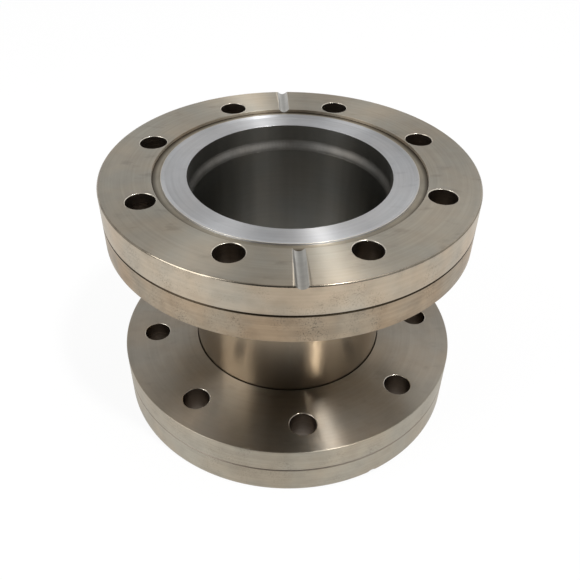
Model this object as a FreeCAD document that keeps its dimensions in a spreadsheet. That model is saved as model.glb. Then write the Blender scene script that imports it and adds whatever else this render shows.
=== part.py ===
import FreeCAD, Part
import math
import os
import Sketcher

# Short nipple with two equal knife-edge vacuum flanges, joined by a tube that is welded from inside.
# The origin is the centre of the lower sealing face, and +Z runs up the tube.

doc = FreeCAD.newDocument("flanged_nipple")

# Driving sizes, in millimetres and degrees
SIZES = [
    ("overall_height", 81.0, "lower sealing face to upper sealing face"),
    ("clocking", 25.6, "turn of the lower bolt holes from the upper ones, degrees"),
    ("flange_dia", 113.5, "outside of each flange"),
    ("flange_thickness", 18.0, "sealing face to back face"),
    ("rim_break", 0.4, "broken edge of the rim at both faces"),
    ("rim_line_place", 9.4, "sealing face to the middle of the V line turned round the rim"),
    ("rim_line_width", 0.6, "width of that line at the rim"),
    ("rim_line_cut", 0.35, "depth of that line"),
    ("bolt_count", 8, "bolt holes in each flange"),
    ("bolt_circle_dia", 92.1, "circle through the bolt hole centres"),
    ("bolt_hole_dia", 8.4, "bolt hole"),
    ("bolt_hole_break", 0.25, "broken edge of a bolt hole at the sealing face"),
    ("recess_dia", 82.5, "gasket recess"),
    ("recess_depth", 1.0, "sealing face to the recess floor"),
    ("knife_setback", 2.65, "recess wall to the tip of the knife edge"),
    ("knife_height", 0.5, "tip of the knife edge above the land inside it"),
    ("knife_slope", 20.0, "slope of the knife edge's inner cone, degrees"),
    ("knife_flank_run", 0.12, "how far the steep outer flank leans out"),
    ("land_depth", 1.0, "sealing face to the land inside the knife edge"),
    ("leak_groove_count", 2, "leak-check grooves in each flange"),
    ("leak_groove_width", 3.4, "leak-check groove at the sealing face"),
    ("leak_groove_floor", 1.8, "leak-check groove between the corners of its floor"),
    ("leak_groove_depth", 0.85, "sealing face to the corners of that floor"),
    ("leak_groove_sag", 0.12, "hollow of that floor"),
    ("tube_dia", 63.5, "outside of the tube"),
    ("tube_wall", 1.65, "wall of the tube"),
    ("socket_gap", 0.3, "clearance round the tube in the flange's socket"),
    ("socket_shoulder", 1.05, "width of the shoulder that the tube's end meets"),
    ("socket_place", 9.7, "sealing face to that shoulder"),
    ("weld_rise", 3.4, "weld bead up the flange's bore from the tube's end"),
]

sheet = doc.addObject("Spreadsheet::Sheet", "Sizes")
for row, (alias, size, note) in enumerate(SIZES, start=1):
    sheet.set("A%d" % row, note)
    sheet.set("B%d" % row, str(size))
    sheet.setAlias("B%d" % row, alias)
doc.recompute()

# Formulas that several features share. A flange is drawn with its back face at height 0.
FLANGE_R = "Sizes.flange_dia / 2"
FACE = "Sizes.flange_thickness"
LINE_LOW = "Sizes.flange_thickness - Sizes.rim_line_place - Sizes.rim_line_width / 2"
LINE_MIDDLE = "Sizes.flange_thickness - Sizes.rim_line_place"
LINE_HIGH = "Sizes.flange_thickness - Sizes.rim_line_place + Sizes.rim_line_width / 2"
LINE_R = "Sizes.flange_dia / 2 - Sizes.rim_line_cut"
RECESS_R = "Sizes.recess_dia / 2"
RECESS_FLOOR = "Sizes.flange_thickness - Sizes.recess_depth"
KNIFE_R = "Sizes.recess_dia / 2 - Sizes.knife_setback"
FLANK_R = "Sizes.recess_dia / 2 - Sizes.knife_setback + Sizes.knife_flank_run"
LAND = "Sizes.flange_thickness - Sizes.land_depth"
KNIFE_TIP = "Sizes.flange_thickness - Sizes.land_depth + Sizes.knife_height"
CONE_FOOT_R = KNIFE_R + " - Sizes.knife_height / tan(Sizes.knife_slope * 1 deg)"
SHOULDER = "Sizes.flange_thickness - Sizes.socket_place"
TUBE_R = "Sizes.tube_dia / 2"
TUBE_BORE_R = "Sizes.tube_dia / 2 - Sizes.tube_wall"
SOCKET_R = "Sizes.tube_dia / 2 + Sizes.socket_gap"
FLANGE_BORE_R = "Sizes.tube_dia / 2 + Sizes.socket_gap - Sizes.socket_shoulder"
HOLE_R = "Sizes.bolt_hole_dia / 2"
HOLE_MOUTH_R = "Sizes.bolt_hole_dia / 2 + Sizes.bolt_hole_break"
HALF_PITCH = "(180 deg / Sizes.bolt_count)"

# How near two lengths count as the same
NEAR = 1e-6


def value(formula):
    """The number that a formula has now."""
    return float(sheet.evalExpression(formula))


def origin_item(body, role):
    """One of a body's own planes or axes."""
    return [item for item in body.Origin.OriginFeatures if item.Role == role][0]


def upright(height):
    """Formula for a piece that stands at a height, unturned."""
    return "placement(vector(0; 0; %s); rotation(vector(0; 0; 1); 0))" % height


def turned_over(height):
    """Formula for a piece turned upside down at a height, and clocked."""
    turn = "rotation(vector(0; 0; 1); Sizes.clocking) * rotation(vector(1; 0; 0); 180)"
    return "placement(vector(0; 0; %s); %s)" % (height, turn)


def add_body(label, placement):
    """An empty body, placed by a formula."""
    body = doc.addObject("PartDesign::Body", label)
    body.Label = label
    body.setExpression("Placement", placement)
    doc.recompute()
    return body


def add_sketch(body, name, role):
    """A sketch on one of the body's own planes."""
    sketch = body.newObject("Sketcher::SketchObject", name)
    sketch.AttachmentSupport = [(origin_item(body, role), "")]
    sketch.MapMode = "FlatFace"
    return sketch


def bind(sketch, constraint, formula):
    """Add a dimension that follows a formula."""
    index = sketch.addConstraint(constraint)
    sketch.setExpression("Constraints[%d]" % index, formula)


def place_corner(sketch, line, end, corner, neighbour, between):
    """Hold one end of a line at its corner, a pair of formulas: distance out and height.

    What it shares with the neighbouring corner is said by the line between them.
    """
    out, up = corner
    if neighbour and neighbour[0] == out:
        sketch.addConstraint(Sketcher.Constraint("Vertical", between))
    elif out == "0":
        sketch.addConstraint(Sketcher.Constraint("PointOnObject", line, end, -2))
    else:
        bind(sketch, Sketcher.Constraint("DistanceX", -1, 1, line, end, value(out)), out)
    if neighbour and neighbour[1] == up:
        sketch.addConstraint(Sketcher.Constraint("Horizontal", between))
    elif up == "0":
        sketch.addConstraint(Sketcher.Constraint("PointOnObject", line, end, -1))
    else:
        bind(sketch, Sketcher.Constraint("DistanceY", -1, 1, line, end, value(up)), up)


def draw_lines(sketch, corners, closed):
    """Straight lines from corner to corner, dimensioned from the sketch's axes."""
    points = [FreeCAD.Vector(value(out), value(up), 0) for out, up in corners]
    if closed:
        points.append(points[0])
    count = len(points) - 1
    for index in range(count):
        sketch.addGeometry(Part.LineSegment(points[index], points[index + 1]), False)
    for index in range(1, count):
        sketch.addConstraint(Sketcher.Constraint("Coincident", index - 1, 2, index, 1))
    if closed:
        sketch.addConstraint(Sketcher.Constraint("Coincident", count - 1, 2, 0, 1))
    place_corner(sketch, 0, 1, corners[0], None, 0)
    for index in range(1, len(corners)):
        place_corner(sketch, index - 1, 2, corners[index], corners[index - 1], index - 1)


def draw_closing_arc(sketch, middle, radius):
    """A round side from the last line's end back to the first line's start, counter-clockwise.

    It goes through about the middle point, and its radius is a formula.
    """
    last_line = sketch.GeometryCount - 1
    points = (sketch.getPoint(last_line, 2), middle, sketch.getPoint(0, 1))
    arc = sketch.addGeometry(Part.Arc(*points), False)
    sketch.addConstraint(Sketcher.Constraint("Coincident", last_line, 2, arc, 1))
    sketch.addConstraint(Sketcher.Constraint("Coincident", arc, 2, 0, 1))
    bind(sketch, Sketcher.Constraint("Radius", arc, value(radius)), radius)


def revolve(body, kind, name, sketch):
    """A full turn of the sketch about its own vertical axis."""
    feature = body.newObject(kind, name)
    feature.Profile = sketch
    feature.ReferenceAxis = (sketch, ["V_Axis"])
    feature.Angle = 360
    doc.recompute()
    return feature


def repeat(body, name, feature, count):
    """Copies of a feature, evenly round the body's own vertical axis."""
    pattern = body.newObject("PartDesign::PolarPattern", name)
    pattern.Originals = [feature]
    pattern.Axis = (origin_item(body, "Z_Axis"), [""])
    pattern.Angle = 360
    pattern.setExpression("Occurrences", count)
    body.Tip = pattern
    doc.recompute()
    return pattern


def circles_at(shape, radius, heights):
    """Names of the whole circles of one radius, centred on the axis, at the given heights."""
    names = []
    for number, edge in enumerate(shape.Edges, start=1):
        if not isinstance(edge.Curve, Part.Circle):
            continue
        centre = edge.Curve.Center
        on_axis = math.hypot(centre.x, centre.y) < NEAR
        same_radius = abs(edge.Curve.Radius - radius) < NEAR
        if on_axis and same_radius and min(abs(centre.z - height) for height in heights) < NEAR:
            names.append("Edge%d" % number)
    return names


def check_cut(before, feature):
    """A cut has to take something away."""
    if feature.Shape.Volume >= before - NEAR:
        raise RuntimeError(feature.Label + " cuts nothing")


def add_flange(label, placement):
    """One knife-edge flange, turned from solid, with its back face at height 0."""
    body = add_body(label, placement)

    # Turned section: back, rim with its line, sealing face, recess, knife edge, land, bore, socket
    section = add_sketch(body, label + "_section", "XZ_Plane")
    corners = [
        (SOCKET_R, "0"),
        (FLANGE_R, "0"),
        (FLANGE_R, LINE_LOW),
        (LINE_R, LINE_MIDDLE),
        (FLANGE_R, LINE_HIGH),
        (FLANGE_R, FACE),
        (RECESS_R, FACE),
        (RECESS_R, RECESS_FLOOR),
        (FLANK_R, RECESS_FLOOR),
        (KNIFE_R, KNIFE_TIP),
        (CONE_FOOT_R, LAND),
        (FLANGE_BORE_R, LAND),
        (FLANGE_BORE_R, SHOULDER),
        (SOCKET_R, SHOULDER),
    ]
    draw_lines(section, corners, True)
    turned = revolve(body, "PartDesign::Revolution", label + "_turned", section)

    # Broken edge of the rim at both faces
    rim = body.newObject("PartDesign::Chamfer", label + "_rim_break")
    rim.Base = (turned, circles_at(turned.Shape, value(FLANGE_R), [0, value(FACE)]))
    rim.setExpression("Size", "Sizes.rim_break")
    doc.recompute()

    # Leak-check groove: milled from the rim into the recess, with sloping sides and a hollow floor
    groove_outline = add_sketch(body, label + "_leak_groove_outline", "XZ_Plane")
    groove_outline.setExpression("AttachmentOffset.Base.z", FLANGE_R)
    half_mouth = "Sizes.leak_groove_width / 2"
    half_floor = "Sizes.leak_groove_floor / 2"
    floor = "Sizes.flange_thickness - Sizes.leak_groove_depth"
    corners = [
        (half_floor, floor),
        (half_mouth, FACE),
        ("-" + half_mouth, FACE),
        ("-" + half_floor, floor),
    ]
    draw_lines(groove_outline, corners, False)
    low_point = FreeCAD.Vector(0, value(floor + " - Sizes.leak_groove_sag"), 0)
    sag_radius = "Sizes.leak_groove_floor ^ 2 / (8 * Sizes.leak_groove_sag) + Sizes.leak_groove_sag / 2"
    draw_closing_arc(groove_outline, low_point, sag_radius)
    leak_groove = body.newObject("PartDesign::Pocket", label + "_leak_groove")
    leak_groove.Profile = groove_outline
    leak_groove.Type = "Length"
    leak_groove.setExpression("Length", FLANGE_R + " - " + RECESS_R + " + Sizes.recess_depth / 2")
    doc.recompute()
    check_cut(rim.Shape.Volume, leak_groove)
    grooves = repeat(body, label + "_leak_grooves", leak_groove, "Sizes.leak_groove_count")

    # Bolt hole half a pitch from the leak-check groove, its edge broken at the sealing face
    hole_section = add_sketch(body, label + "_bolt_hole_section", "XZ_Plane")
    across = "Sizes.bolt_circle_dia / 2 * sin" + HALF_PITCH
    forward = "Sizes.bolt_circle_dia / 2 * cos" + HALF_PITCH
    hole_section.setExpression("AttachmentOffset.Base.x", across)
    hole_section.setExpression("AttachmentOffset.Base.z", forward)
    corners = [
        ("0", "0"),
        (HOLE_R, "0"),
        (HOLE_R, FACE + " - Sizes.bolt_hole_break"),
        (HOLE_MOUTH_R, FACE),
        ("0", FACE),
    ]
    draw_lines(hole_section, corners, True)
    bolt_hole = revolve(body, "PartDesign::Groove", label + "_bolt_hole", hole_section)
    check_cut(grooves.Shape.Volume, bolt_hole)
    repeat(body, label + "_bolt_holes", bolt_hole, "Sizes.bolt_count")
    return body


def add_tube():
    """Plain tube, square at both ends, from shoulder to shoulder."""
    body = add_body("tube", upright("Sizes.socket_place"))
    ring = add_sketch(body, "tube_ring", "XY_Plane")
    for radius in (TUBE_R, TUBE_BORE_R):
        circle = Part.Circle(FreeCAD.Vector(0, 0, 0), FreeCAD.Vector(0, 0, 1), value(radius))
        index = ring.addGeometry(circle, False)
        ring.addConstraint(Sketcher.Constraint("Coincident", index, 3, -1, 1))
        bind(ring, Sketcher.Constraint("Radius", index, value(radius)), radius)
    wall = body.newObject("PartDesign::Pad", "tube_wall_pad")
    wall.Profile = ring
    wall.setExpression("Length", "Sizes.overall_height - 2 * Sizes.socket_place")
    doc.recompute()
    return body


def add_weld(label, placement):
    """Internal weld bead in the corner between the tube's end and the flange's bore.

    It stands on the tube's end at height 0 and narrows towards the sealing face.
    """
    body = add_body(label, placement)
    section = add_sketch(body, label + "_section", "XZ_Plane")
    corners = [
        (TUBE_BORE_R, "0"),
        (FLANGE_BORE_R, "0"),
        (FLANGE_BORE_R, "Sizes.weld_rise"),
    ]
    draw_lines(section, corners, True)
    revolve(body, "PartDesign::Revolution", label + "_bead", section)
    return body


parts = [
    add_flange("upper_flange", upright("Sizes.overall_height - Sizes.flange_thickness")),
    add_flange("lower_flange", turned_over("Sizes.flange_thickness")),
    add_tube(),
    add_weld("upper_weld", upright("Sizes.overall_height - Sizes.socket_place")),
    add_weld("lower_weld", turned_over("Sizes.socket_place")),
]
doc.recompute()

# Nothing is written unless every feature is sound
for item in doc.Objects:
    if "Invalid" in item.State or "Error" in item.State:
        raise RuntimeError(item.Label + " failed: " + ", ".join(item.State))
for part in parts:
    if part.Shape.isNull() or not part.Shape.isValid() or len(part.Shape.Solids) != 1:
        raise RuntimeError(part.Label + " is not one valid solid")

os.makedirs("parts", exist_ok=True)
for part in parts:
    part.Shape.exportStep("parts/" + part.Label + ".step")
    box = part.Shape.optimalBoundingBox()
    print("%-13s %10.1f mm3, height %.2f to %.2f" % (part.Label, part.Shape.Volume, box.ZMin, box.ZMax))
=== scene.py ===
# Dresses a short stainless vacuum nipple: two knife-edge flanges, a tube and two internal weld beads.
# Each piece keeps its solid's form and place, and adds finer curves, softened edges and the finish.

import math

import bmesh
import bpy
from bpy.props import FloatProperty, FloatVectorProperty, IntProperty, PointerProperty
from mathutils import Matrix, Vector


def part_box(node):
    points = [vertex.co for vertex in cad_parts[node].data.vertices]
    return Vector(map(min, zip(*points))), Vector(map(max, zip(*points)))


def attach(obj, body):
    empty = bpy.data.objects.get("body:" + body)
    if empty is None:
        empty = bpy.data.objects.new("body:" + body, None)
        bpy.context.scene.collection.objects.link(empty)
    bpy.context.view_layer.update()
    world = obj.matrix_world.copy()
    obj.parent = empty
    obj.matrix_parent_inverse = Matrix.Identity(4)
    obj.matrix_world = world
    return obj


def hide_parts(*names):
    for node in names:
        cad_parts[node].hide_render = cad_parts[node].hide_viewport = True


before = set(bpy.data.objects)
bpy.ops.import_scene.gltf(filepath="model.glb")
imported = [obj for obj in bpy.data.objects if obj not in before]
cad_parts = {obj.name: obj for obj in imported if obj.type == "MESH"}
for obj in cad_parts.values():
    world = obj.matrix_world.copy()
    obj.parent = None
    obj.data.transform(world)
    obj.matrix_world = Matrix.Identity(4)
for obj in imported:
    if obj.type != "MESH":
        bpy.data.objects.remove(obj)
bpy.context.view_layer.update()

bl_info = {
    "name": "Vacuum Nipple",
    "version": (1, 0, 0),
    "blender": (4, 5, 0),
    "location": "View3D > Sidebar > Nipple",
    "description": "Flanged vacuum nipple in turned stainless steel",
    "category": "Object",
}

MM = 0.001

# Sizes that the solids give
UPPER_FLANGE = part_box("upper_flange")
LOWER_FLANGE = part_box("lower_flange")
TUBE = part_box("tube")
UPPER_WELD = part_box("upper_weld")
TUBE_SEAT = UPPER_FLANGE[1].z - TUBE[1].z

# How finely curves are cut
SPIN_STEPS = 288
HOLE_STEPS = 64
BEAD_STEPS = 720
BEAD_CUTS = 8
ROUND_STEPS = 4
GROOVE_STEPS = 10
# Faces that turn by more than this keep a crisp edge between them
CRISP_ANGLE = math.radians(50)
# How far the ripples of a weld bead are bowed, as an angle round the bore
BEAD_BOW = 0.06
# Half the floor's side
FLOOR_REACH = 12.0
# Soft boxes: name, turn from the front and rise in degrees, width and height in metres, power in watts
LAMPS = (
    ("key_lamp", 42, 64, 0.06, 0.13, 4.2),
    ("left_lamp", -70, 44, 0.5, 0.35, 2.6),
    ("side_lamp", 75, 62, 0.3, 0.3, 0.7),
    ("right_lamp", 125, 34, 0.6, 0.6, 0.55),
    ("back_strip", 180, 10, 2.2, 0.25, 1.2),
)
# How near two points count as the same
NEAR = 0.001 * MM
# How far a cutting tool runs past what it cuts
OVERCUT = 1.0 * MM
# A face whose normal is higher than this is flat
FLAT_TILT = 0.999


def linear(code):
    """Linear colour of an sRGB hex value."""
    channels = [int(code[place:place + 2], 16) / 255 for place in (1, 3, 5)]
    return [c / 12.92 if c <= 0.04045 else ((c + 0.055) / 1.055) ** 2.4 for c in channels]


def length(name, description, default):
    """A size that a user may change."""
    return FloatProperty(name=name, description=description, default=default, unit="LENGTH", precision=5)


def angle(name, description, degrees):
    """An angle that a user may change."""
    return FloatProperty(name=name, description=description, default=math.radians(degrees), unit="ROTATION")


def colour(name, description, code):
    """A colour that a user may change."""
    return FloatVectorProperty(name=name, description=description, default=linear(code), subtype="COLOR")


class NippleSizes(bpy.types.PropertyGroup):
    """Sizes of the nipple."""

    height: length("Height", "Sealing face to sealing face", UPPER_FLANGE[1].z)
    flange_radius: length("Flange radius", "Outside of each flange", UPPER_FLANGE[1].x)
    flange_thickness: length("Flange thickness", "Sealing face to back", LOWER_FLANGE[1].z)
    flange_bore: length("Flange bore", "Radius of the flange's own bore", UPPER_WELD[1].x)
    bead_ripple: length("Bead ripple", "Height of its ripples", 0.012 * MM)
    bead_pitch: length("Bead pitch", "Spacing of its ripples", 1.2 * MM)
    tube_seat: length("Tube seat", "Sealing face to the tube's end", TUBE_SEAT)
    weld_rise: length("Weld rise", "Weld bead up the flange's bore", UPPER_WELD[1].z - UPPER_WELD[0].z)
    tube_radius: length("Tube radius", "Outside of the tube", TUBE[1].x)
    tube_wall: length("Tube wall", "Wall of the tube", 1.65 * MM)
    socket_gap: length("Socket gap", "Clearance round the tube in the socket", 0.3 * MM)
    clocking: angle("Clocking", "Turn of the lower flange", 25.6)
    rim_break: length("Rim break", "Broken edge of the rim at the sealing face", 0.35 * MM)
    back_round: length("Back rounding", "Soft edge of the rim at the back", 0.2 * MM)
    edge_round: length("Edge rounding", "Soft edge elsewhere", 0.1 * MM)
    tip_round: length("Tip rounding", "Blunt tip of the knife edge", 0.11 * MM)
    line_place: length("Rim line", "Sealing face to the line turned in the rim", 9.4 * MM)
    line_width: length("Rim line width", "Width of that line", 0.6 * MM)
    line_depth: length("Rim line depth", "Depth of that line", 0.35 * MM)
    recess_radius: length("Recess radius", "Gasket recess", 41.25 * MM)
    recess_depth: length("Recess depth", "Sealing face to the recess floor and the land", 1.0 * MM)
    knife_radius: length("Knife radius", "Tip of the knife edge", 38.6 * MM)
    knife_height: length("Knife height", "Tip of the knife edge above the land", 0.5 * MM)
    knife_flank: length("Knife flank", "How far its outer flank leans out", 0.12 * MM)
    knife_slope: angle("Knife slope", "Slope of its inner cone", 20)
    bolt_circle: length("Bolt circle", "Radius of the bolt circle", 46.05 * MM)
    bolt_hole: length("Bolt hole", "Radius of a bolt hole", 4.2 * MM)
    bolt_count: IntProperty(name="Bolts", description="Holes in a flange", default=8)
    hole_break: length("Hole break", "Broken edge of a bolt hole", 0.25 * MM)
    groove_mouth: length("Groove mouth", "Leak-check groove at the face", 3.4 * MM)
    groove_floor: length("Groove floor", "Leak-check groove at its floor", 1.5 * MM)
    groove_depth: length("Groove depth", "Sealing face to that floor", 0.97 * MM)
    groove_round: length("Groove rounding", "Between that floor and its sides", 0.74 * MM)


class NippleColours(bpy.types.PropertyGroup):
    """Colours of the finishes."""

    face: colour("Face", "Sealing face, warm from handling", "#A9A193")
    back: colour("Back", "Back faces, turned the same way", "#A0978A")
    seat: colour("Seat", "Land and knife edge, bright from the last cut", "#BDBDBE")
    recess: colour("Recess", "Gasket recess outside the knife edge", "#A39A8A")
    rim: colour("Rim", "Upper rim before its line, and the recess wall", "#C0B3A0")
    # Partly painted shade: darker than the upper rim, for the shade near the floor
    lower_rim: colour("Lower rim", "Turned rim of the lower flange", "#ADA494")
    rim_back: colour("Rim back", "Upper rim behind its line, browned", "#AD9C86")
    # Lighter than the face: painted highlight on the broken edges
    edge: colour("Edge", "Bright broken edges: the knife tip and the bolt holes", "#DCD4C6")
    # Darker than the rim: painted dark reflection along the rim's edges
    rim_edge: colour("Rim edge", "Dulled edges of the rim and of its line", "#9C9283")
    bore: colour("Bore", "Inside of the flange and the tube", "#8E8C86")
    # Painted shade, near black, for the rim line and the recess corner
    painted_crease_shade: colour("Dirt", "Oil and dust left in corners", "#40372B")
    # Painted shade, lighter, for the lower rim's line
    painted_shade: colour("Dust", "Dust in the lower rim's line", "#988E81")
    hole: colour("Bolt hole", "Drilled wall", "#948A80")
    groove: colour("Groove", "Milled leak-check groove", "#A3A19C")
    tube: colour("Tube", "Polished outside of the tube", "#AB9D8A")
    weld: colour("Weld", "Satin weld bead", "#9A9792")
    floor: colour("Floor", "Pale floor", "#FAFAFA")


class NippleStudio(bpy.types.PropertyGroup):
    """Camera and light."""

    lens: FloatProperty(name="Lens", description="Focal length in millimetres", default=41.76)
    azimuth: angle("Azimuth", "Camera's turn from the front", -3.653)
    elevation: angle("Elevation", "Camera's look down", 39.252)
    roll: angle("Roll", "Camera's lean", 1.078)
    distance: length("Distance", "From the camera to the upper face's centre, along its axis", 202.03 * MM)
    aside: length("Aside", "Upper face's centre right of the camera's axis", -0.62 * MM)
    above: length("Above", "Upper face's centre above the camera's axis", 36.66 * MM)
    sky: FloatProperty(name="Sky", description="Level of the light from all round", default=0.62)
    dim: FloatProperty(name="Dim side", description="Level of the light from behind the camera", default=0.02)
    dim_turn: angle("Dim turn", "Middle of the dim side, from the front", 0)
    dim_rise: angle("Dim rise", "Height of that middle", 32)
    dim_core: angle("Dim core", "How far round that middle it stays dim", 16)
    dim_edge: angle("Dim edge", "Where the dim side ends", 46)
    floor_glow: FloatProperty(
        name="Floor glow", description="Share of plain white in the floor as it is seen", default=0.9)
    lamp_distance: length("Lamp distance", "Lamps from the upper face", 0.9)


def add_node(tree, kind, inputs=(), give=0, **settings):
    """Adds a node with its settings, and values or links on its inputs, and gives one output."""
    node = tree.nodes.new(kind)
    for name, setting in settings.items():
        setattr(node, name, setting)
    sockets = [socket for socket in node.inputs if socket.enabled]
    for key, given in dict(inputs).items():
        socket = sockets[key] if isinstance(key, int) else next(s for s in sockets if s.name == key)
        if isinstance(given, bpy.types.NodeSocket):
            tree.links.new(given, socket)
        else:
            socket.default_value = given
    outputs = [socket for socket in node.outputs if socket.enabled]
    return outputs[give] if outputs else node


class Ring:
    """Sockets for patterns that run round the piece's axis."""

    def __init__(self, tree):
        self.tree = tree
        self.place = add_node(tree, "ShaderNodeTexCoord", give=3)
        self.height = add_node(tree, "ShaderNodeSeparateXYZ", {0: self.place}, give=2)
        flat = add_node(tree, "ShaderNodeVectorMath", {0: self.place, 1: (1, 1, 0)}, operation="MULTIPLY")
        self.radius = add_node(tree, "ShaderNodeVectorMath", {0: flat}, operation="LENGTH")
        self.outward = add_node(tree, "ShaderNodeVectorMath", {0: flat}, operation="NORMALIZE")
        self.round = add_node(
            tree, "ShaderNodeVectorMath", {0: (0, 0, 1), 1: self.outward}, operation="CROSS_PRODUCT")


def tool_marks(ring, across, pitch, run):
    """Lines that a tool left round the axis: pitch is their spacing, and run is how far one lasts."""
    turn = add_node(
        ring.tree, "ShaderNodeVectorMath", {0: ring.outward, 1: 40 * MM / run}, operation="SCALE")
    step = add_node(ring.tree, "ShaderNodeMath", {0: across, 1: 1 / pitch}, operation="MULTIPLY")
    rise = add_node(ring.tree, "ShaderNodeCombineXYZ", {2: step})
    where = add_node(ring.tree, "ShaderNodeVectorMath", {0: turn, 1: rise}, operation="ADD")
    noise = add_node(ring.tree, "ShaderNodeTexNoise", {"Vector": where, "Scale": 1.0, "Detail": 2.0})
    return add_node(ring.tree, "ShaderNodeMapRange", {0: noise, 1: 0.3, 2: 0.7})


def patches(ring, size, offset, start, end, stretch=1.0):
    """Soft patches of a size, such as tarnish and handling leave: 0 where the noise is at start, 1 at end."""
    turn = (0, 0, 0.6) if stretch > 1 else (0, 0, 0)
    where = add_node(
        ring.tree, "ShaderNodeMapping",
        {"Vector": ring.place, "Location": (offset, offset, 0), "Rotation": turn, "Scale": (1, stretch, 1)})
    noise = add_node(ring.tree, "ShaderNodeTexNoise", {"Vector": where, "Scale": 1 / size, "Detail": 3.0})
    return add_node(ring.tree, "ShaderNodeMapRange", {0: noise, 1: start, 2: end})


def shade(colour, amount):
    """The colour made lighter or darker by a share."""
    return [min(1, channel * (1 + amount)) for channel in colour] + [1]


def tinted(colour, warmth):
    """The colour made warmer or cooler by a share."""
    return [min(1, colour[0] * (1 + warmth)), colour[1], min(1, colour[2] * (1 - warmth)), 1]


def steel(
        name, colour, roughness, anisotropy, way, pitch=0.5 * MM, depth=0, contrast=0.02, warmth=0.02,
        streaks=0, mottle=0, smears=0, pits=0, corner_shade=None):
    """Bare stainless steel, cut round its axis.

    way is how the tool marks are spaced, "radius" or "height", with their pitch and depth. contrast is
    how far these marks change the colour, warmth how far soft patches do, and streaks, mottle, smears
    and pits how much darker soft bands along the axis, small blotches, strokes left by handling, and
    fine pits are. The last argument is a colour of painted shade in a corner, and the radii where it starts
    and is full.
    """
    if name in bpy.data.materials:
        return bpy.data.materials[name]
    material = bpy.data.materials.new(name)
    material.use_nodes = True
    tree = material.node_tree
    shader = tree.nodes["Principled BSDF"]
    shader.inputs["Metallic"].default_value = 1.0
    shader.inputs["Anisotropic"].default_value = anisotropy
    # A quarter turn, because light spreads across the lay and not along it
    shader.inputs["Anisotropic Rotation"].default_value = 0.25
    ring = Ring(tree)
    across = ring.radius if way == "radius" else ring.height
    marks = tool_marks(ring, across, pitch, 30 * MM)
    darker = [(marks, 2 * contrast)]
    if streaks:
        # So long a pitch leaves the bands unchanged along the axis
        darker.append((tool_marks(ring, ring.height, 500 * MM, 8 * MM), streaks))
    if mottle:
        darker.append((patches(ring, 5 * MM, 0.5, 0.42, 0.68), mottle))
    if smears:
        darker.append((patches(ring, 9 * MM, 0.7, 0.6, 0.72, 2.5), smears))
    if pits:
        grit = patches(ring, 0.4 * MM, 0.9, 0.52, 0.66)
        group = patches(ring, 7 * MM, 0.2, 0.45, 0.65)
        grit = add_node(tree, "ShaderNodeMath", {0: grit, 1: group}, operation="MULTIPLY")
        darker.append((grit, pits))
    middle = shade(colour, contrast)
    cast = patches(ring, 14 * MM, 0.36, 0.35, 0.65)
    look = add_node(
        tree, "ShaderNodeMix", {0: cast, 1: tinted(middle, -warmth), 2: tinted(middle, warmth)},
        data_type="RGBA")
    for place, amount in darker:
        layer = {0: place, 1: look, 2: shade((1, 1, 1), -amount)}
        look = add_node(tree, "ShaderNodeMix", layer, data_type="RGBA", blend_type="MULTIPLY")
    # Painted shade: a darker colour blended in by radius towards a corner
    if corner_shade:
        corner_shade_colour, start, full = corner_shade
        share = add_node(tree, "ShaderNodeMapRange", {0: ring.radius, 1: start, 2: full})
        look = add_node(tree, "ShaderNodeMix", {0: share, 1: look, 2: [*corner_shade_colour, 1]}, data_type="RGBA")
    tree.links.new(look, shader.inputs["Base Color"])
    grain = {0: marks, 3: roughness * (1 - contrast), 4: roughness * (1 + contrast)}
    tree.links.new(add_node(tree, "ShaderNodeMapRange", grain), shader.inputs["Roughness"])
    if depth:
        bump = add_node(tree, "ShaderNodeBump", {"Strength": 1.0, "Distance": depth, "Height": marks})
        tree.links.new(bump, shader.inputs["Normal"])
    tree.links.new(ring.round, shader.inputs["Tangent"])
    return material


def face_steel(colours):
    """316L stainless, face turned: a fine lay round the axis that draws light into radial streaks."""
    # Drawn coarser than the real lay, which is too fine for the picture, as on all turned faces here
    return steel(
        "face_turned_stainless", colours.face, 0.4, 0.93, "radius", 0.8 * MM, 0.004 * MM,
        contrast=0.05, warmth=0.035, mottle=0.06, smears=0.16)


def back_steel(colours):
    """The back faces, turned the same way and less clean."""
    return steel(
        "back_turned_stainless", colours.back, 0.3, 1.0, "radius", 0.8 * MM, 0.003 * MM,
        contrast=0.035, warmth=0.03, mottle=0.08, smears=0.1)


def seat_steel(colours):
    """316L stainless, fine turned with a sharp tool: brighter and cooler than what has been handled."""
    return steel(
        "fine_turned_stainless", colours.seat, 0.4, 0.92, "radius", 0.8 * MM, 0.006 * MM,
        contrast=0.05, warmth=0.01, mottle=0.05, smears=0.1)


def recess_steel(colours):
    """316L stainless, turned at the bottom of the recess: paler than the face, with painted shade that
    darkens the corner.
    """
    return steel(
        "recess_turned_stainless", colours.recess, 0.4, 0.92, "radius", 0.8 * MM, 0.002 * MM, contrast=0.08,
        mottle=0.15, corner_shade=(colours.painted_crease_shade, 39.6 * MM, 41.1 * MM))


def rim_steel(colours):
    """316L stainless, turned on the outside: satin, with a lay round the rim and a warm cast."""
    return steel(
        "rim_turned_stainless", colours.rim, 0.4, 0.9, "height", 0.8 * MM, 0.002 * MM,
        contrast=0.04, warmth=0.05, streaks=0.05, mottle=0.12, pits=0.3)


def lower_rim_steel(colours):
    """The lower flange's rim, turned the same way, with less of the warm cast, and darker as painted shade
    near the floor.
    """
    return steel(
        "lower_rim_turned_stainless", colours.lower_rim, 0.4, 0.9, "height", 0.8 * MM, 0.002 * MM,
        contrast=0.05, warmth=0.03, mottle=0.1, pits=0.3)


def rim_back_steel(colours):
    """The same rim where heat and handling have browned it: darker, and mottled."""
    return steel(
        "browned_rim_stainless", colours.rim_back, 0.42, 0.88, "height", 0.7 * MM, 0.003 * MM,
        contrast=0.06, warmth=0.06, streaks=0.06, mottle=0.18, pits=0.5)


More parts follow.
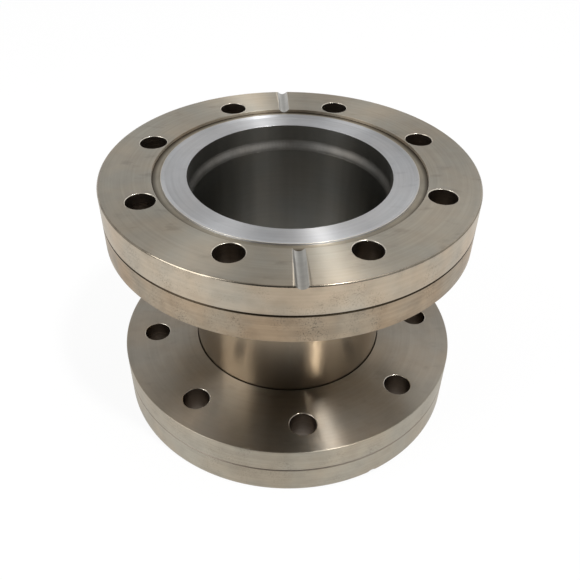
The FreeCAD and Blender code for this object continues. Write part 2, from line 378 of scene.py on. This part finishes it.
def edge_steel(colours):
    """316L stainless, edges broken on the lathe with a fine stone: they catch a lamp in a bright line, which
    their lighter colour brightens as a painted highlight.
    """
    return steel("stoned_edge_stainless", colours.edge, 0.28, 0.6, "height")


def line_steel(colours):
    """The line turned in the rim, painted near black as the shade that falls in it."""
    return steel("shade_painted_line_stainless", colours.painted_crease_shade, 0.35, 0.5, "height", contrast=0.05)


def shaded_lower_line_steel(colours):
    """The same line in the lower rim, painted with a lighter shade."""
    return steel("shade_painted_lower_line_stainless", colours.painted_shade, 0.4, 0.5, "height", contrast=0.05)


def bore_steel(colours):
    """316L stainless, bored: duller, and dark for want of light."""
    return steel("bored_stainless", colours.bore, 0.3, 0.88, "height", 0.8 * MM, streaks=0.2)


def hole_steel(colours):
    """316L stainless, drilled: rough and brown with old oil."""
    return steel("drilled_stainless", colours.hole, 0.3, 0.0, "height", contrast=0.1, warmth=0.03, mottle=0.2)


def rim_edge_steel(colours):
    """The same on the rim, with a darker colour as a painted dark reflection: a dark line, bright only at a
    lamp.
    """
    return steel("shade_painted_rim_edge_stainless", colours.rim_edge, 0.2, 0.6, "height", contrast=0.1, mottle=0.3)


def hole_edge_steel(colours):
    """316L stainless, hole edges broken with a countersink: they catch a lamp in a small glint, which the
    lighter edge colour brightens as a painted highlight.
    """
    return steel("broken_hole_edge_stainless", colours.edge, 0.22, 0.0, "height")


def groove_steel(colours):
    """316L stainless, milled: a lay across the groove draws light into a band along it."""
    return steel("milled_stainless", colours.groove, 0.3, 0.6, "radius", contrast=0.05, mottle=0.1)


def tube_steel(colours):
    """316L tube, belt polished round: light draws into bands along the tube."""
    return steel("polished_stainless_tube", colours.tube, 0.23, 0.9, "height", contrast=0.015, streaks=0.1)


def weld_steel(colours):
    """Fused without filler: satin, faintly rippled, and greyer."""
    return steel(
        "fused_stainless_weld", colours.weld, 0.4, 0.6, "height", depth=0.001 * MM,
        contrast=0.05, mottle=0.2)


def section(mesh, corners, steps=ROUND_STEPS):
    """A closed wire outline in the XZ plane: each corner is its radius, its height and its rounding."""
    verts = [mesh.verts.new((radius, 0, height)) for radius, height, _ in corners]
    edges = [mesh.edges.new(pair) for pair in zip(verts, verts[1:] + verts[:1])]
    for vert, (_, _, rounding) in zip(verts, corners):
        if rounding:
            bmesh.ops.bevel(
                mesh, geom=[vert], offset=rounding, offset_type="OFFSET", segments=steps,
                profile=0.5, affect="VERTICES", material=-1)
    return edges


def spin_round(mesh, steps):
    """Spins everything in the mesh once round the Z axis."""
    bmesh.ops.spin(
        mesh, geom=mesh.verts[:] + mesh.edges[:], cent=(0, 0, 0), axis=(0, 0, 1), dvec=(0, 0, 0),
        angle=math.tau, steps=steps, use_merge=True, use_duplicate=False)
    bmesh.ops.recalc_face_normals(mesh, faces=mesh.faces[:])


def flange_blank(sizes):
    """A flange before drilling, back face at height 0 and sealing face up, with its finishes set."""
    rounding = sizes.edge_round
    face = sizes.flange_thickness
    floor = face - sizes.recess_depth
    line = face - sizes.line_place
    half_line = sizes.line_width / 2
    socket = sizes.tube_radius + sizes.socket_gap
    shoulder = face - sizes.tube_seat
    cone_foot = sizes.knife_radius - sizes.knife_height / math.tan(sizes.knife_slope)
    mesh = bmesh.new()
    section(mesh, [
        (socket, 0, rounding),
        (sizes.flange_radius, 0, sizes.back_round),
        (sizes.flange_radius, line - half_line, rounding),
        (sizes.flange_radius - sizes.line_depth, line, rounding / 2),
        (sizes.flange_radius, line + half_line, rounding),
        (sizes.flange_radius, face - sizes.rim_break, rounding),
        (sizes.flange_radius - sizes.rim_break, face, rounding),
        (sizes.recess_radius, face, rounding),
        (sizes.recess_radius, floor, rounding),
        (sizes.knife_radius + sizes.knife_flank, floor, rounding / 2),
        (sizes.knife_radius, floor + sizes.knife_height, sizes.tip_round),
        (cone_foot, floor, rounding),
        (sizes.flange_bore, floor, rounding),
        (sizes.flange_bore, shoulder, 0),
        (socket, shoulder, 0),
    ])
    spin_round(mesh, SPIN_STEPS)
    return mesh


def finish_of(face, sizes):
    """Which finish a face of the flange blank has, by where it lies."""
    centre = face.calc_center_median()
    radius = math.hypot(centre.x, centre.y)
    outward = face.normal.x * centre.x + face.normal.y * centre.y
    below = sizes.flange_thickness - centre.z
    if radius > sizes.flange_radius - sizes.line_depth:
        past_line = abs(below - sizes.line_place) - sizes.line_width / 2
        if past_line < sizes.edge_round / 2:
            return "line"
        if past_line < sizes.edge_round or below < sizes.rim_break:
            return "rim_edge"
        return "rim" if below < sizes.line_place else "rim_back"
    if radius > sizes.flange_radius - sizes.rim_break - sizes.edge_round and abs(face.normal.z) < FLAT_TILT:
        return "rim_edge" if below < sizes.rim_break else "back"
    tip = math.hypot(radius - sizes.knife_radius, below - sizes.recess_depth + sizes.knife_height)
    if tip < sizes.tip_round:
        return "edge"
    if sizes.edge_round / 2 < below < sizes.recess_depth + sizes.edge_round:
        if radius < sizes.knife_radius + sizes.knife_flank:
            return "seat"
        return "recess" if face.normal.z > 0.5 else "rim"
    if radius < sizes.tube_radius + sizes.socket_gap + NEAR and outward < 0:
        return "bore"
    return "back" if centre.z < sizes.edge_round else "face"


def bolt_drill(sizes):
    """What the drill and the edge breaker take away for one bolt hole, standing on the bolt circle."""
    mesh = bmesh.new()
    face = sizes.flange_thickness
    mouth = sizes.bolt_hole + sizes.hole_break
    outline = [
        (0, -OVERCUT), (mouth, -OVERCUT), (mouth, 0), (sizes.bolt_hole, sizes.hole_break),
        (sizes.bolt_hole, face - sizes.hole_break), (mouth, face),
        (mouth, face + OVERCUT), (0, face + OVERCUT),
    ]
    verts = [mesh.verts.new((radius, 0, height)) for radius, height in outline]
    for first, second in zip(verts, verts[1:]):
        mesh.edges.new((first, second))
    spin_round(mesh, HOLE_STEPS)
    bmesh.ops.remove_doubles(mesh, verts=mesh.verts[:], dist=NEAR)
    bmesh.ops.recalc_face_normals(mesh, faces=mesh.faces[:])
    for item in mesh.faces:
        height = item.calc_center_median().z
        item.material_index = 0 if sizes.hole_break < height < face - sizes.hole_break else 1
    bmesh.ops.translate(mesh, verts=mesh.verts[:], vec=(0, -sizes.bolt_circle, 0))
    return mesh


def groove_cutter(sizes):
    """What the cutter takes away for one leak-check groove, from the recess out past the rim at -Y."""
    mesh = bmesh.new()
    face = sizes.flange_thickness
    half_mouth = sizes.groove_mouth / 2
    half_floor = sizes.groove_floor / 2
    # The sides carry on above the face at their own slope
    slope = (half_mouth - half_floor) / sizes.groove_depth
    half_top = half_mouth + slope * OVERCUT
    floor = face - sizes.groove_depth
    section(mesh, [
        (half_floor, floor, sizes.groove_round),
        (half_top, face + OVERCUT, 0),
        (-half_top, face + OVERCUT, 0),
        (-half_floor, floor, sizes.groove_round),
    ], GROOVE_STEPS)
    bmesh.ops.contextual_create(mesh, geom=mesh.edges[:])
    start = -(sizes.recess_radius - sizes.recess_depth / 2)
    end = -(sizes.flange_radius + OVERCUT)
    bmesh.ops.translate(mesh, verts=mesh.verts[:], vec=(0, start, 0))
    ends = bmesh.ops.extrude_face_region(mesh, geom=mesh.faces[:], use_keep_orig=True)["geom"]
    moved = [item for item in ends if isinstance(item, bmesh.types.BMVert)]
    bmesh.ops.translate(mesh, verts=moved, vec=(0, end - start, 0))
    bmesh.ops.recalc_face_normals(mesh, faces=mesh.faces[:])
    return mesh


def repeat_round(mesh, count, turn):
    """Turns what is in the mesh about the Z axis, then repeats it evenly to a count."""
    bmesh.ops.rotate(mesh, verts=mesh.verts[:], cent=(0, 0, 0), matrix=Matrix.Rotation(turn, 3, "Z"))
    bmesh.ops.spin(
        mesh, geom=mesh.verts[:] + mesh.edges[:] + mesh.faces[:], cent=(0, 0, 0), axis=(0, 0, 1),
        dvec=(0, 0, 0), angle=math.tau * (count - 1) / count, steps=count - 1,
        use_merge=False, use_duplicate=True)


def new_piece(name, mesh, materials):
    """An object of this mesh, with its materials."""
    data = bpy.data.meshes.new(name)
    mesh.to_mesh(data)
    mesh.free()
    for material in materials:
        data.materials.append(material)
    piece = bpy.data.objects.new(name, data)
    bpy.context.scene.collection.objects.link(piece)
    return piece


def cut_away(piece, cutter):
    """Cuts a piece with another, whose material the cut takes, and deletes the cutter."""
    cut = piece.modifiers.new("cut", "BOOLEAN")
    cut.operation = "DIFFERENCE"
    cut.object = cutter
    cut.solver = "EXACT"
    cut.material_mode = "TRANSFER"
    graph = bpy.context.evaluated_depsgraph_get()
    data = bpy.data.meshes.new_from_object(piece.evaluated_get(graph), depsgraph=graph)
    piece.modifiers.remove(cut)
    piece.data = data
    bpy.data.objects.remove(cutter)


def finish_piece(piece, node):
    """Smooths a piece's curves, keeps its flats flat, and puts it in the solid's place."""
    piece.data.shade_smooth()
    piece.data.set_sharp_from_angle(angle=CRISP_ANGLE)
    flats = piece.modifiers.new("flats", "WEIGHTED_NORMAL")
    flats.keep_sharp = True
    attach(piece, "root")
    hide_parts(node)


class NIPPLE_OT_flanges(bpy.types.Operator):
    """Make the two knife-edge flanges"""

    bl_idname = "nipple.flanges"
    bl_label = "Flanges"

    def execute(self, context):
        sizes = context.scene.nipple_sizes
        colours = context.scene.nipple_colours
        finishes = {
            "face": face_steel(colours),
            "back": back_steel(colours),
            "seat": seat_steel(colours),
            "recess": recess_steel(colours),
            "rim": rim_steel(colours),
            "rim_back": rim_back_steel(colours),
            "edge": edge_steel(colours),
            "rim_edge": rim_edge_steel(colours),
            "line": line_steel(colours),
            "bore": bore_steel(colours),
        }
        blank = flange_blank(sizes)
        order = list(finishes)
        for face in blank.faces:
            face.material_index = order.index(finish_of(face, sizes))
        upper = new_piece("turned_upper_flange", blank, finishes.values())
        drills = bolt_drill(sizes)
        repeat_round(drills, sizes.bolt_count, math.pi / sizes.bolt_count)
        cut_away(upper, new_piece("drills", drills, [hole_steel(colours), hole_edge_steel(colours)]))
        grooves = groove_cutter(sizes)
        repeat_round(grooves, 2, 0)
        cut_away(upper, new_piece("groove_cutters", grooves, [groove_steel(colours)]))
        lower = upper.copy()
        lower.data = upper.data.copy()
        lower.name = "turned_lower_flange"
        context.scene.collection.objects.link(lower)
        # Only the upper one is browned; its line has the darker painted shade
        for name in ("rim", "rim_back"):
            lower.data.materials[order.index(name)] = lower_rim_steel(colours)
        lower.data.materials[order.index("line")] = shaded_lower_line_steel(colours)
        upper.data.transform(Matrix.Translation((0, 0, sizes.height - sizes.flange_thickness)))
        turned = Matrix.Rotation(sizes.clocking, 4, "Z") @ Matrix.Rotation(math.pi, 4, "X")
        lower.data.transform(Matrix.Translation((0, 0, sizes.flange_thickness)) @ turned)
        finish_piece(upper, "upper_flange")
        finish_piece(lower, "lower_flange")
        return {"FINISHED"}


class NIPPLE_OT_tube(bpy.types.Operator):
    """Make the tube between the flanges"""

    bl_idname = "nipple.tube"
    bl_label = "Tube"

    def execute(self, context):
        sizes = context.scene.nipple_sizes
        colours = context.scene.nipple_colours
        bore = sizes.tube_radius - sizes.tube_wall
        low = sizes.tube_seat
        high = sizes.height - sizes.tube_seat
        mesh = bmesh.new()
        section(mesh, [
            (bore, low, sizes.edge_round),
            (sizes.tube_radius, low, sizes.edge_round),
            (sizes.tube_radius, high, sizes.edge_round),
            (bore, high, sizes.edge_round),
        ])
        spin_round(mesh, SPIN_STEPS)
        middle = sizes.tube_radius - sizes.tube_wall / 2
        for face in mesh.faces:
            centre = face.calc_center_median()
            face.material_index = 0 if math.hypot(centre.x, centre.y) > middle else 1
        piece = new_piece("polished_tube", mesh, [tube_steel(colours), bore_steel(colours)])
        finish_piece(piece, "tube")
        return {"FINISHED"}


def weld_bead(sizes):
    """A fused bead that stands on the tube's end at height 0: it flows out of the walls, faintly rippled."""
    bore = sizes.tube_radius - sizes.tube_wall
    mesh = bmesh.new()
    edges = section(mesh, [
        (bore, 0, 0), (sizes.flange_bore, 0, 0), (sizes.flange_bore, sizes.weld_rise, 0)])
    bmesh.ops.subdivide_edges(mesh, edges=edges[-1:], cuts=BEAD_CUTS)
    spin_round(mesh, BEAD_STEPS)
    ripples = round(math.tau * bore / sizes.bead_pitch)
    for vert in mesh.verts:
        radius = math.hypot(vert.co.x, vert.co.y)
        share = vert.co.z / sizes.weld_rise
        if NEAR < vert.co.z and radius < sizes.flange_bore - NEAR:
            # The freezing front trails at the edges, so each ripple is bowed
            turn = math.atan2(vert.co.y, vert.co.x) + BEAD_BOW * share * (1 - share)
            flow = bore + (sizes.flange_bore - bore) * share * share * (3 - 2 * share)
            ripple = sizes.bead_ripple * math.sin(math.pi * share) * math.sin(ripples * turn)
            vert.co.xy *= (flow - ripple) / radius
    return mesh


class NIPPLE_OT_welds(bpy.types.Operator):
    """Make the two weld beads inside"""

    bl_idname = "nipple.welds"
    bl_label = "Welds"

    def execute(self, context):
        sizes = context.scene.nipple_sizes
        material = weld_steel(context.scene.nipple_colours)
        upper = new_piece("upper_weld_bead", weld_bead(sizes), [material])
        upper.data.transform(Matrix.Translation((0, 0, sizes.height - sizes.tube_seat)))
        lower = new_piece("lower_weld_bead", weld_bead(sizes), [material])
        turned = Matrix.Rotation(sizes.clocking, 4, "Z") @ Matrix.Rotation(math.pi, 4, "X")
        lower.data.transform(Matrix.Translation((0, 0, sizes.tube_seat)) @ turned)
        finish_piece(upper, "upper_weld")
        finish_piece(lower, "lower_weld")
        return {"FINISHED"}


def heading(turn, rise):
    """Direction at a turn from the front, anticlockwise from above, and a rise from level."""
    return Vector((math.sin(turn) * math.cos(rise), -math.cos(turn) * math.cos(rise), math.sin(rise)))


def aim_camera(studio, target):
    """A camera that looks at the target from the studio's angles, with the target off its axis."""
    back = heading(studio.azimuth, studio.elevation)
    right = Vector((math.cos(studio.azimuth), math.sin(studio.azimuth), 0))
    up = back.cross(right)
    data = bpy.data.cameras.new("camera")
    data.lens = studio.lens
    data.sensor_fit = "HORIZONTAL"
    data.clip_start = 10 * MM
    camera = bpy.data.objects.new("camera", data)
    place = target - studio.aside * right - studio.above * up + studio.distance * back
    axes = Matrix((right, up, back)).transposed() @ Matrix.Rotation(studio.roll, 3, "Z")
    camera.matrix_world = Matrix.Translation(place) @ axes.to_4x4()
    return camera


def pale_floor(colours, studio, covered):
    """Matt white sheet. Straight and in a reflection it looks near white, with a softened shadow.

    It glows less within the covered radius, under the part.
    """
    material = bpy.data.materials.new("matt_white_sheet")
    material.use_nodes = True
    tree = material.node_tree
    shader = tree.nodes["Principled BSDF"]
    shader.inputs["Base Color"].default_value = [*colours.floor, 1]
    shader.inputs["Roughness"].default_value = 0.9
    shader.inputs["Specular IOR Level"].default_value = 0.0
    path = tree.nodes.new("ShaderNodeLightPath")
    seen = path.outputs["Is Camera Ray"]
    for ray in ("Is Glossy Ray", "Is Transmission Ray"):
        seen = add_node(tree, "ShaderNodeMath", {0: seen, 1: path.outputs[ray]}, operation="MAXIMUM")
    under = 0.4 * studio.floor_glow
    level = add_node(
        tree, "ShaderNodeMapRange",
        {0: Ring(tree).radius, 1: covered - MM, 2: covered, 3: under, 4: studio.floor_glow})
    share = add_node(tree, "ShaderNodeMath", {0: seen, 1: level}, operation="MULTIPLY")
    glow = add_node(tree, "ShaderNodeEmission", {"Strength": 1.0})
    surface = add_node(tree, "ShaderNodeMixShader", {0: share, 1: shader.outputs[0], 2: glow})
    tree.links.new(surface, tree.nodes["Material Output"].inputs["Surface"])
    return material


def studio_light(studio):
    """Even light from all round, with a dim side behind the camera."""
    world = bpy.data.worlds.new("studio")
    world.use_nodes = True
    tree = world.node_tree
    background = tree.nodes["Background"]
    background.inputs["Color"].default_value = (1, 1, 1, 1)
    way = add_node(tree, "ShaderNodeTexCoord", give=0)
    near = add_node(
        tree, "ShaderNodeVectorMath", {0: way, 1: heading(studio.dim_turn, studio.dim_rise)},
        operation="DOT_PRODUCT")
    level = add_node(
        tree, "ShaderNodeMapRange",
        {0: near, 1: math.cos(studio.dim_edge), 2: math.cos(studio.dim_core), 3: studio.sky, 4: studio.dim},
        interpolation_type="SMOOTHSTEP")
    tree.links.new(level, background.inputs["Strength"])
    return world


def soft_lamp(name, target, way, distance, width, height, power):
    """A soft box that stands off from the target one way, and is aimed at it."""
    data = bpy.data.lights.new(name, "AREA")
    data.shape = "RECTANGLE"
    data.size = width
    data.size_y = height
    data.energy = power
    lamp = bpy.data.objects.new(name, data)
    lamp.location = target + way * distance
    lamp.rotation_euler = way.to_track_quat("Z", "Y").to_euler()
    return lamp


class NIPPLE_OT_stage(bpy.types.Operator):
    """Make the camera, the floor and the light"""

    bl_idname = "nipple.stage"
    bl_label = "Stage"

    def execute(self, context):
        scene = context.scene
        studio = scene.nipple_studio
        sizes = scene.nipple_sizes
        top = Vector((0, 0, sizes.height))
        camera = aim_camera(studio, top)
        scene.collection.objects.link(camera)
        scene.camera = camera
        scene.view_settings.view_transform = "Standard"
        scene.world = studio_light(studio)
        mesh = bmesh.new()
        bmesh.ops.create_grid(mesh, x_segments=1, y_segments=1, size=FLOOR_REACH)
        floor = new_piece("floor", mesh, [pale_floor(scene.nipple_colours, studio, sizes.flange_radius)])
        for name, turn, rise, width, height, power in LAMPS:
            way = heading(math.radians(turn), math.radians(rise))
            lamp = soft_lamp(name, top, way, studio.lamp_distance, width, height, power)
            scene.collection.objects.link(lamp)
        return {"FINISHED"}


class NIPPLE_PT_panel(bpy.types.Panel):
    """The nipple's pieces and stage"""

    bl_idname = "NIPPLE_PT_panel"
    bl_label = "Nipple"
    bl_space_type = "VIEW_3D"
    bl_region_type = "UI"
    bl_category = "Nipple"

    def draw(self, context):
        for operator in OPERATORS:
            self.layout.operator(operator.bl_idname)


GROUPS = {"nipple_sizes": NippleSizes, "nipple_colours": NippleColours, "nipple_studio": NippleStudio}
OPERATORS = (NIPPLE_OT_stage, NIPPLE_OT_flanges, NIPPLE_OT_tube, NIPPLE_OT_welds)


def register():
    for group in GROUPS.values():
        bpy.utils.register_class(group)
    for name, group in GROUPS.items():
        setattr(bpy.types.Scene, name, PointerProperty(type=group))
    for operator in OPERATORS:
        bpy.utils.register_class(operator)
    bpy.utils.register_class(NIPPLE_PT_panel)


def unregister():
    bpy.utils.unregister_class(NIPPLE_PT_panel)
    for operator in reversed(OPERATORS):
        bpy.utils.unregister_class(operator)
    for name in GROUPS:
        delattr(bpy.types.Scene, name)
    for group in GROUPS.values():
        bpy.utils.unregister_class(group)


def main():
    register()
    bpy.ops.nipple.stage()
    bpy.ops.nipple.flanges()
    bpy.ops.nipple.tube()
    bpy.ops.nipple.welds()


if __name__ == "__main__":
    main()
